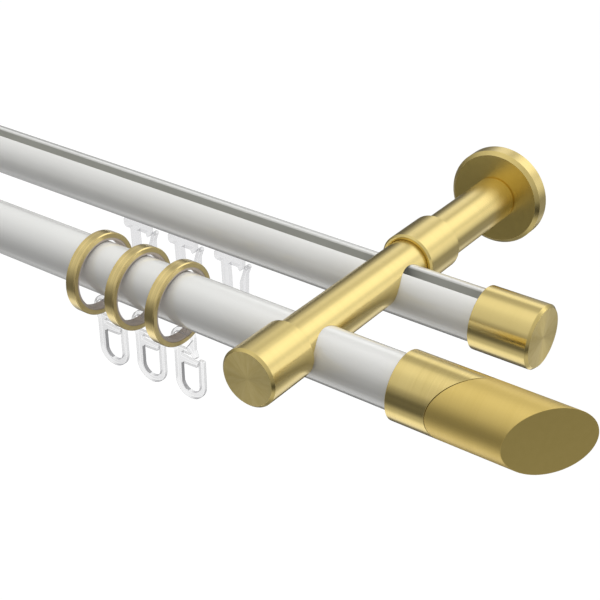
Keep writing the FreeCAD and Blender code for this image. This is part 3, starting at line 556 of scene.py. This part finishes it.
ARM_HEAD_PROFILE = ((170.4, 0), (170.4, 9.85, 0.12), (169.5, 10.78, 0.12), (148.2, 10.78, 0.2),
                    (148.2, ARM_BORE), (167, ARM_BORE), (167, 3), (148.5, 3), (147.5, 2), (147.5, 0))
# Tapped holes: lock screws under the rear arm and the sleeve, and the bores along the front arm.
REAR_ARM_LOCKS, SLEEVE_LOCKS, LOCK_DEPTH = (13.75,), (59, 69), 13
HEAD_BORE, CLAMP_BORE = (138, 168), (64, 85)
SEAT_REACH = 20
ARM_EDGES = (0.18, 40)  # width of a bevel, and the angle from which an edge gets one


def along_arm(side, out, up=0):
    """A point on a bracket's arm, in metres."""
    return Vector((placed("rear_arm_" + side).x, -out * MM, up * MM))


def lock_holes(side, places):
    """Cutters for the tapped holes under the arm."""
    return [cylinder(along_arm(side, out, -LOCK_DEPTH), along_arm(side, out), M4_HOLE, HOLE_FACETS)
            for out in places]


def bracket(side):
    """The turned pieces of one bracket, from the wall to the room."""
    wall = along_arm(side, 0)
    rosette = turned("rosette_" + side, ROSETTE_PROFILE, wall, TURNED, TO_ROOM, WIDE_FACETS)
    faced(rosette, ROOM, MILLED)
    fitted(rosette, "pole_set", "brass_turned", "wall_rosette_" + side)

    rear = turned("rear_arm_tube_" + side, REAR_ARM_PROFILE, wall, TURNED, TO_ROOM)
    rear = carved(rear, lock_holes(side, REAR_ARM_LOCKS))
    fitted(rear, "pole_set", "brass_brushed", "rear_arm_" + side)

    sleeve = turned("arm_sleeve_" + side, SLEEVE_PROFILE, wall, TURNED, TO_ROOM)
    sleeve = carved(sleeve, lock_holes(side, SLEEVE_LOCKS))
    faced(sleeve, ROOM, EDGE)
    fitted(sleeve, "pole_set", "brass_turned", "coupling_sleeve_" + side)

    front = turned("front_arm_bar_" + side, FRONT_ARM_PROFILE, wall, TURNED, TO_ROOM)
    reach = Vector((SEAT_REACH * MM, 0, 0))
    seats = [cylinder(wall + axis - reach, wall + axis + reach, POLE_BORE, WIDE_FACETS)
             for axis in (FRONT_AXIS, REAR_AXIS)]
    bores = [cylinder(along_arm(side, near), along_arm(side, far), M6_HOLE, HOLE_FACETS)
             for near, far in (HEAD_BORE, CLAMP_BORE)]
    front = eased(carved(front, seats + bores), *ARM_EDGES)
    fitted(front, "pole_set", "brass_brushed", "front_arm_" + side)

    head = turned("arm_cap_" + side, ARM_HEAD_PROFILE, wall, TURNED, TO_ROOM)
    # The head's face takes the painted rays of highlight.
    faced(head, ROOM, PAINTED_STAR)
    fitted(head, "pole_set", "brass_turned", "arm_head_" + side)


# ---------------------------------------------------------------- ends of the poles

FINIAL = 12.45
# Profiles: (beyond the pole's end, radius, rounding). The finial's two are cut on the slant afterwards.
CAP_PROFILE = ((0.05, 0), (0.05, POLE_BORE), (-15.6, POLE_BORE), (-15.6, 12, 0.15), (6.7, 12, 0.12),
               (7.7, 11, 0.12), (7.7, 0))
SOCKET_PROFILE = ((-15.7, POLE_BORE), (0.05, POLE_BORE), (0.05, SPIGOT_BORE), (34, SPIGOT_BORE), (34, FINIAL),
                  (-15.4, FINIAL, 0.1), (-15.7, 12.15), (-15.7, POLE_BORE))
TIP_PROFILE = ((-16, 0), (-16, FINIAL), (62, FINIAL), (62, 0))
SLANT = 40             # degrees that the finial's cuts are turned from square
SEAM, FACE = 9.6, 36.9
HAIRLINE = 0.14        # from the seam to each of the pieces beside it
DOWEL, DOWEL_FROM, DOWEL_TO = 6, 0.1, 24
SOCKET_EDGES, TIP_EDGES = (0.1, 20), (0.12, 20)


def pole_end(side):
    """End cap and finial at one end of the poles."""
    sign = 1 if side == "right" else -1
    turn = (0, 0, 0) if sign > 0 else (0, 0, math.pi)
    front, rear = [Vector((sign * POLE_END, axis.y, axis.z)) for axis in (FRONT_AXIS, REAR_AXIS)]
    slant = Vector((sign * math.cos(math.radians(SLANT)), -math.sin(math.radians(SLANT)), 0))

    def beyond(out):
        return Vector((sign * out * MM, 0, 0))

    cap = turned("pole_cap_" + side, CAP_PROFILE, rear, TURNED, turn)
    # The cap's face takes the painted rays of highlight.
    faced(cap, (sign, 0, 0), PAINTED_STAR)
    fitted(cap, "pole_set", "brass_turned", "rear_end_cap_" + side)

    sleeve = turned("finial_socket_" + side, SOCKET_PROFILE, front, BRUSHED, turn)
    sliced(sleeve, front + beyond(SEAM) - beyond(HAIRLINE), slant)
    sleeve = eased(sleeve, *SOCKET_EDGES)
    fitted(sleeve, "pole_set", "brass_brushed", "finial_sleeve_" + side)

    tip = turned("finial_end_" + side, TIP_PROFILE, front, SATIN, turn)
    sliced(tip, front + beyond(FACE), slant)
    sliced(tip, front + beyond(SEAM) + beyond(HAIRLINE), -slant)
    dowel = cylinder(front + beyond(DOWEL_FROM), front + beyond(DOWEL_TO), DOWEL, DOWEL_FACETS)
    tip = eased(carved(tip, [dowel], join=True), *TIP_EDGES)
    # The slanted face takes the darker brass: painted dark reflection.
    faced(tip, slant, SLANT_FACE_PAINTED_DARK, edge=False)
    fitted(tip, "pole_set", "brass_satin", "finial_tip_" + side)


# ---------------------------------------------------------------- poles

TUBE_PROFILE = ((-500, 8.8), (500, 8.8), (500, POLE), (-500, POLE), (-500, 8.8))
# Rear extrusion, from its middle: the groove's front and back walls, its floor, the round lip at its back and
# the small cuts in its corners; then the slot, and the track inside.
GROOVE_FRONT, GROOVE_BACK, GROOVE_FLOOR, LIP, CORNER, EASED_MOUTH = -3.85, 0.9, 4.6, 0.9, 0.15, 0.12
SLOT_HALF, TRACK_HALF, TRACK_FLOOR, TRACK_TOP = 1.8, 5.4, -8.3, -4.7
FLANK_STEPS, LIP_STEPS = 88, 12
LIP_GAP = 1          # degrees from the flank's last point to the lip's first
SECTION_CREASE = 25  # degrees between faces from which their edge stays sharp
TOUCH = 0.01         # how near to the groove's walls a face still counts as one of them


def arc(start, end, radius, steps, middle=(0, 0)):
    """Points round a middle from one angle to another, in degrees."""
    angles = [math.radians(start + (end - start) * k / steps) for k in range(steps + 1)]
    return [(middle[0] + radius * math.cos(angle), middle[1] + radius * math.sin(angle)) for angle in angles]


def rear_section():
    """Outline of the rear pole: (behind, over) its middle."""
    foot = math.degrees(math.acos(SLOT_HALF / POLE))
    mouth = math.degrees(math.acos((GROOVE_FRONT - CORNER) / POLE))
    lip = math.degrees(math.acos((GROOVE_BACK + LIP) / (POLE - LIP)))
    lip_middle = (GROOVE_BACK + LIP, (POLE - LIP) * math.sin(math.radians(lip)))
    return [
        *arc(-foot, lip - LIP_GAP, POLE, FLANK_STEPS), *arc(lip, 180, LIP, LIP_STEPS, lip_middle),
        (GROOVE_BACK, GROOVE_FLOOR + CORNER), (GROOVE_BACK - CORNER, GROOVE_FLOOR),
        (GROOVE_FRONT + CORNER, GROOVE_FLOOR), (GROOVE_FRONT, GROOVE_FLOOR + CORNER),
        (GROOVE_FRONT, POLE * math.sin(math.radians(mouth)) - EASED_MOUTH),
        *arc(mouth, 180 + foot, POLE, FLANK_STEPS),
        (-SLOT_HALF, TRACK_FLOOR), (-TRACK_HALF, TRACK_FLOOR), (-TRACK_HALF, TRACK_TOP),
        (TRACK_HALF, TRACK_TOP), (TRACK_HALF, TRACK_FLOOR), (SLOT_HALF, TRACK_FLOOR)]


def poles():
    """The two poles: a round tube, and an extrusion with a top groove and a slotted track."""
    tube = turned("front_tube", TUBE_PROFILE, FRONT_AXIS, PAINT)
    fitted(tube, "pole_set", "white_paint", "front_pole")

    shell = extruded(rear_section(), (-POLE_END, POLE_END),
                     lambda behind, over, end: (end, REAR_AXIS.y + behind * MM, REAR_AXIS.z + over * MM))
    bmesh.ops.triangulate(shell, faces=[face for face in shell.faces if len(face.verts) > 4])
    mesh = cast(shell, "rear_profile", PAINT, PAINTED_GROOVE_SHADE)
    mesh.shade_smooth()
    mesh.set_sharp_from_angle(angle=math.radians(SECTION_CREASE))
    for polygon in mesh.polygons:
        behind, over = (polygon.center - REAR_AXIS).yz / MM
        # The groove's walls and floor take the greyer coat: painted shade in the recess.
        if GROOVE_FRONT - TOUCH < behind < GROOVE_BACK + TOUCH and over > GROOVE_FLOOR - TOUCH:
            polygon.material_index = 1
    fitted(linked("rear_profile", mesh), "pole_set", "white_paint", "rear_pole")


# ---------------------------------------------------------------- rings, hooks, gliders

# Profiles: (along the pole, radius, rounding).
RING_PROFILE = ((-2.3, 14.4), (2.3, 14.4), (2.3, 16.01, 0.12), (1.95, 16.36, 0.15), (-1.95, 16.36, 0.15),
                (-2.3, 16.01, 0.12), (-2.3, 14.4))
LINER_PROFILE = ((-1.8, 13.3), (1.8, 13.3, 0.1), (2.15, 13.65, 0.1), (2.15, 14.35), (-2.15, 14.35),
                 (-2.15, 13.65, 0.1), (-1.8, 13.3))
# A hook's outline: (across, above its eye's middle, rounding). The eye and the gate come first, then the bow.
HOOK_OUTLINE = (
    (-3.9, 5.8, 6.2), (7.6, 5.8, 3), (7.6, -2.5, 1.5), (8.7, -5.3), (7.1, -6.1), (3.45, -2.55), (6.1, 1.2, 0.9),
    (5.7, 3, 0.9), (-3, 3, 2.85), (-3, -3.25, 2.1), (3.45, -3.25), (5.25, -5.05), (0.95, -5.05), (0.95, -6.7),
    (8.7, -7.4), (8.4, -9.5), (0.95, -9.9), (0.95, -21.7, 4.15), (9.3, -21.7, 4.15), (9.3, -6), (11.7, -6),
    (11.7, -24.5, 6.95), (-2.3, -24.5, 6.95), (-2.3, -5.55, 3), (-3.9, -2.1, 1.5), (-3.9, 5.8))
HOOK_EYE = -22.5     # height of the eye's middle
HOOK_THINNER = 0.9   # how much thinner the hook is than its solid, taken off its back
# The bow's faces that get painted shade: inside its left limb, which looks right, and under its bend.
BOW_TOP, LEFT_LIMB, LOOKS_RIGHT = -11, 5, 0.35
BEND_TOP, BEND_FROM = -25, 4
HOOK_EDGES, GLIDER_EDGES = (0.25, 35), (0.22, 35)
SAME_POINT, SAME_PLANE = 0.001, 1  # mm and degrees within which a CAD solid's triangles are merged


def ring_set(index):
    """One curtain ring with its liner."""
    centre = placed("curtain_ring_%d" % index)
    ring = turned("ring_%d" % index, RING_PROFILE, centre, RING_BRASS)
    for way in (1, -1):
        faced(ring, (way, 0, 0), RING_FACE, edge=False)
    fitted(ring, "ring_%d" % index, "brass_satin", "curtain_ring_%d" % index)
    liner = turned("liner_%d" % index, LINER_PROFILE, centre, LINER)
    fitted(liner, "ring_%d" % index, "grey_plastic", "ring_liner_%d" % index)


def ring_hook(index):
    """Clear hook of one ring: an eye that snaps round the ring, and a round bow with a gate tongue."""
    across, name = placed("curtain_ring_%d" % index).x, "hook_%d" % index
    low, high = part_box("ring_hook_%d" % index)
    shell = extruded(rounded(HOOK_OUTLINE, support=0)[:-1], (low.y, high.y - HOOK_THINNER * MM),
                     lambda aside, over, end: (across + aside * MM, end, HOOK_EYE * MM + over * MM))
    hook = eased(linked(name, cast(shell, name, HOOK_PLASTIC, HOOK_PAINTED_SHADE)), *HOOK_EDGES)
    for polygon in hook.data.polygons:
        aside, over = (polygon.center.x - across) / MM, polygon.center.z / MM - HOOK_EYE
        inside = over < BOW_TOP and aside < LEFT_LIMB and polygon.normal.x > LOOKS_RIGHT
        under = (over < BEND_TOP and aside > BEND_FROM and polygon.normal.z < 0
                 and abs(polygon.normal.y) < SQUARE_ON)
        # Painted shade: these faces take the darker clear acrylic.
        if inside or under:
            polygon.material_index = 1
    fitted(hook, name, "clear_plastic", "ring_hook_%d" % index)


def glider(index):
    """One glider, from its CAD node: merged, with its rims eased as a mould leaves them."""
    name = "glider_%d" % index
    shell = bmesh.new()
    shell.from_mesh(NODES["track_glider_%d" % index].data)
    bmesh.ops.remove_doubles(shell, verts=shell.verts, dist=SAME_POINT * MM)
    bmesh.ops.dissolve_limit(shell, angle_limit=math.radians(SAME_PLANE), verts=shell.verts, edges=shell.edges)
    piece = eased(linked(name, cast(shell, name, GLIDER_PLASTIC)), *GLIDER_EDGES)
    fitted(piece, name, "clear_plastic", "track_glider_%d" % index)


for side in SIDES:
    bracket(side)
    pole_end(side)
poles()
for index in SETS:
    ring_set(index)
    ring_hook(index)
    glider(index)

# The CAD nodes that still show are the wall plates and the screws.
for name, node in NODES.items():
    finish = PLATE if name.startswith("wall_plate") else SCREW
    node.data.materials.clear()
    node.data.materials.append(finish)

# ---------------------------------------------------------------- studio

# Soft boxes and darker gaps of the studio's tent: azimuth, elevation, half angles in degrees inside which it is
# whole and outside which it is gone, and the light it adds.
TENT = ((157, 37, 8, 25, 0.9), (131, 9, 6, 23, 0.78), (-154, 28, 3, 14, 0.66), (-132, 3, 5, 21, -0.34),
        (-142, 50, 5, 18, -0.28), (-27, -20, 8, 26, -0.18), (-72, -64, 8, 22, 0.68), (-140, -55, 8, 24, -0.4),
        (166, -50, 6, 20, 0.5), (-164, -37, 7, 20, -0.48), (-20, 6, 6, 22, -0.2), (-35, 38, 8, 26, 0.1),
        (56, -29, 3, 18, -0.24), (-82, 68, 8, 26, 0.15), (-177, 51, 4, 12, 0.28), (-90, 0, 10, 36, -0.16),
        (147, -29, 4, 15, 0.09))
# Height from straight down (0) to straight up (1), and the tent's grey there.
TENT_WALL = ((0, "#898989"), (0.06, "#C9C9C9"), (0.15, "#C5C5C5"), (0.25, "#909090"), (0.37, "#999999"),
             (0.5, "#A8A8A8"), (0.64, "#C8C8C8"), (0.75, "#D1D1D1"), (0.85, "#D8D8D8"), (0.95, "#F3F3F3"),
             (1, "#FFFFFF"))
# The tent's light on matt surfaces: up to the horizon, and from straight up.
SOFT_LOW, SOFT_HIGH = 0.36, 0.62
FLOOR_HALF, FLOOR_HEIGHT = 6, -0.45  # metres
# How much of the floor, as the camera sees it, is its own white, and how strong that is.
FLOOR_WHITE, FLOOR_GLOW = 0.9, 1.1
# Lamps: name, place and aim in metres, side in metres, watts.
LAMPS = (("overhead_box", (0.25, 0.15, 1.0), (0.3, -0.1, 0), 0.9, 7.2),
         ("left_box", (-0.9, -0.9, 0.7), (0.3, -0.1, 0), 0.8, 2.2))
WHITE = "#FFFFFF"


def studio_world():
    """White behind the object; the tent's soft boxes and gaps for what shines, and a plain level for the rest."""
    world = bpy.data.worlds.new("studio")
    bpy.context.scene.world = world
    world.use_nodes = True
    tree = world.node_tree
    tree.nodes.clear()
    facing = add(tree, "ShaderNodeTexCoord").outputs["Generated"]
    height = add(tree, "ShaderNodeSeparateXYZ", in_0=facing).outputs["Z"]
    rise = add(tree, "ShaderNodeMapRange", Value=height, From_Min=-1.0).outputs[0]
    level = add(tree, "ShaderNodeValToRGB", stops=TENT_WALL, Fac=rise).outputs["Color"]
    for azimuth, elevation, inner, outer, light in TENT:
        near = add(tree, "ShaderNodeVectorMath", {"operation": "DOT_PRODUCT"}, in_0=facing,
                   in_1=bearing(azimuth, elevation)).outputs["Value"]
        glow = add(tree, "ShaderNodeMapRange", {"interpolation_type": "SMOOTHSTEP"}, Value=near,
                   From_Min=math.cos(math.radians(outer)), From_Max=math.cos(math.radians(inner)), To_Min=0.0,
                   To_Max=light).outputs[0]
        level = add(tree, "ShaderNodeMath", {"operation": "ADD"}, in_0=level, in_1=glow).outputs[0]
    path = add(tree, "ShaderNodeLightPath").outputs
    plain = add(tree, "ShaderNodeMath", {"operation": "MAXIMUM"}, in_0=path["Is Camera Ray"],
                in_1=path["Is Transmission Ray"]).outputs[0]
    soft = add(tree, "ShaderNodeMapRange", Value=height, From_Min=0.0, To_Min=SOFT_LOW,
               To_Max=SOFT_HIGH).outputs[0]
    tent = add(tree, "ShaderNodeMix", {"data_type": "FLOAT"}, in_0=path["Is Glossy Ray"], in_2=soft,
               in_3=level).outputs[0]
    lit = add(tree, "ShaderNodeBackground", Color=colour(WHITE), Strength=tent).outputs[0]
    white = add(tree, "ShaderNodeBackground", Color=colour(WHITE), Strength=1.0).outputs[0]
    shown = add(tree, "ShaderNodeMixShader", in_0=plain, in_1=lit, in_2=white).outputs[0]
    add(tree, "ShaderNodeOutputWorld", Surface=shown)


def studio_floor():
    """Pale paper floor: white to the camera, paper for the light, and out of the way of what shines."""
    made, tree = material("studio_paper")
    path = add(tree, "ShaderNodeLightPath").outputs
    where = add(tree, "ShaderNodeTexCoord").outputs["Object"]
    cloud = add(tree, "ShaderNodeTexNoise", Vector=where, Scale=3.0).outputs["Fac"]
    tone = add(tree, "ShaderNodeValToRGB", stops=((0.4, "#ABABAB"), (0.6, "#AEAEAE")), Fac=cloud).outputs["Color"]
    seen = add(tree, "ShaderNodeMath", {"operation": "MAXIMUM"}, in_0=path["Is Camera Ray"],
               in_1=path["Is Transmission Ray"]).outputs[0]
    share = add(tree, "ShaderNodeMath", {"operation": "MULTIPLY"}, in_0=seen, in_1=FLOOR_WHITE).outputs[0]
    paper = add(tree, "ShaderNodeBsdfDiffuse", Color=tone).outputs[0]
    glow = add(tree, "ShaderNodeEmission", Color=colour(WHITE), Strength=FLOOR_GLOW).outputs[0]
    sheet = add(tree, "ShaderNodeMixShader", in_0=share, in_1=paper, in_2=glow).outputs[0]
    clear = add(tree, "ShaderNodeBsdfTransparent").outputs[0]
    shown = add(tree, "ShaderNodeMixShader", in_0=path["Is Glossy Ray"], in_1=sheet, in_2=clear).outputs[0]
    add(tree, "ShaderNodeOutputMaterial", Surface=shown)
    mesh = bpy.data.meshes.new("studio_floor")
    mesh.from_pydata([(x * FLOOR_HALF, y * FLOOR_HALF, FLOOR_HEIGHT)
                      for x, y in ((-1, -1), (1, -1), (1, 1), (-1, 1))], [], [(0, 1, 2, 3)])
    mesh.materials.append(made)
    linked("studio_floor", mesh)


def studio_lamps():
    """Soft boxes for the matt surfaces: one overhead, one from the front left."""
    for name, place, aim, size, power in LAMPS:
        lamp = bpy.data.lights.new(name, "AREA")
        lamp.shape, lamp.size, lamp.energy = "SQUARE", size, power
        made = linked(name, lamp)
        made.visible_glossy = False
        made.location = place
        made.rotation_mode = "QUATERNION"
        made.rotation_quaternion = (Vector(aim) - Vector(place)).to_track_quat("-Z", "Y")


studio_world()
studio_floor()
studio_lamps()
bpy.context.scene.view_settings.view_transform = "Standard"
